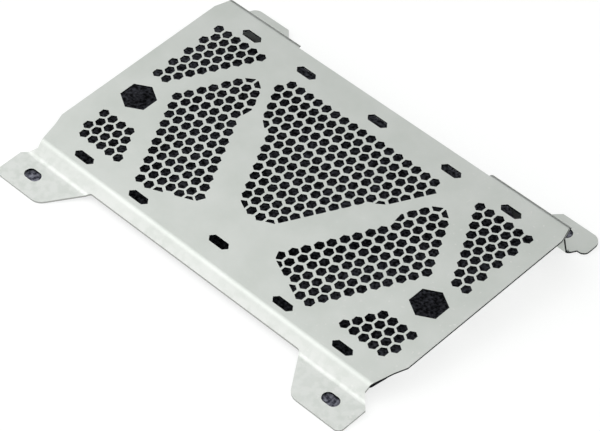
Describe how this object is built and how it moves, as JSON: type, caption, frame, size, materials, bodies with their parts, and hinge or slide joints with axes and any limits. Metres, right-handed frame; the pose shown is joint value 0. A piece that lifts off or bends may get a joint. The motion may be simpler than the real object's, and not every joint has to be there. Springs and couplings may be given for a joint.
{
  "type": "motorcycle radiator guard",
  "caption": "Folded perforated sheet guard for a motorcycle radiator, with four slotted mounting tabs.",
  "frame": {"origin": "midway along and across the guard, on the level of the far tabs' underside", "axes": "+X along the guard, +Y from the sloping web to the legs, +Z from the tabs up to the perforated plate"},
  "size_m": [0.354, 0.264, 0.034],
  "materials": {
    "sheet_metal": "matt, laser cut and folded"
  },
  "bodies": {
    "root": {"guard_plate": "sheet_metal"}
  },
  "joints": []
}
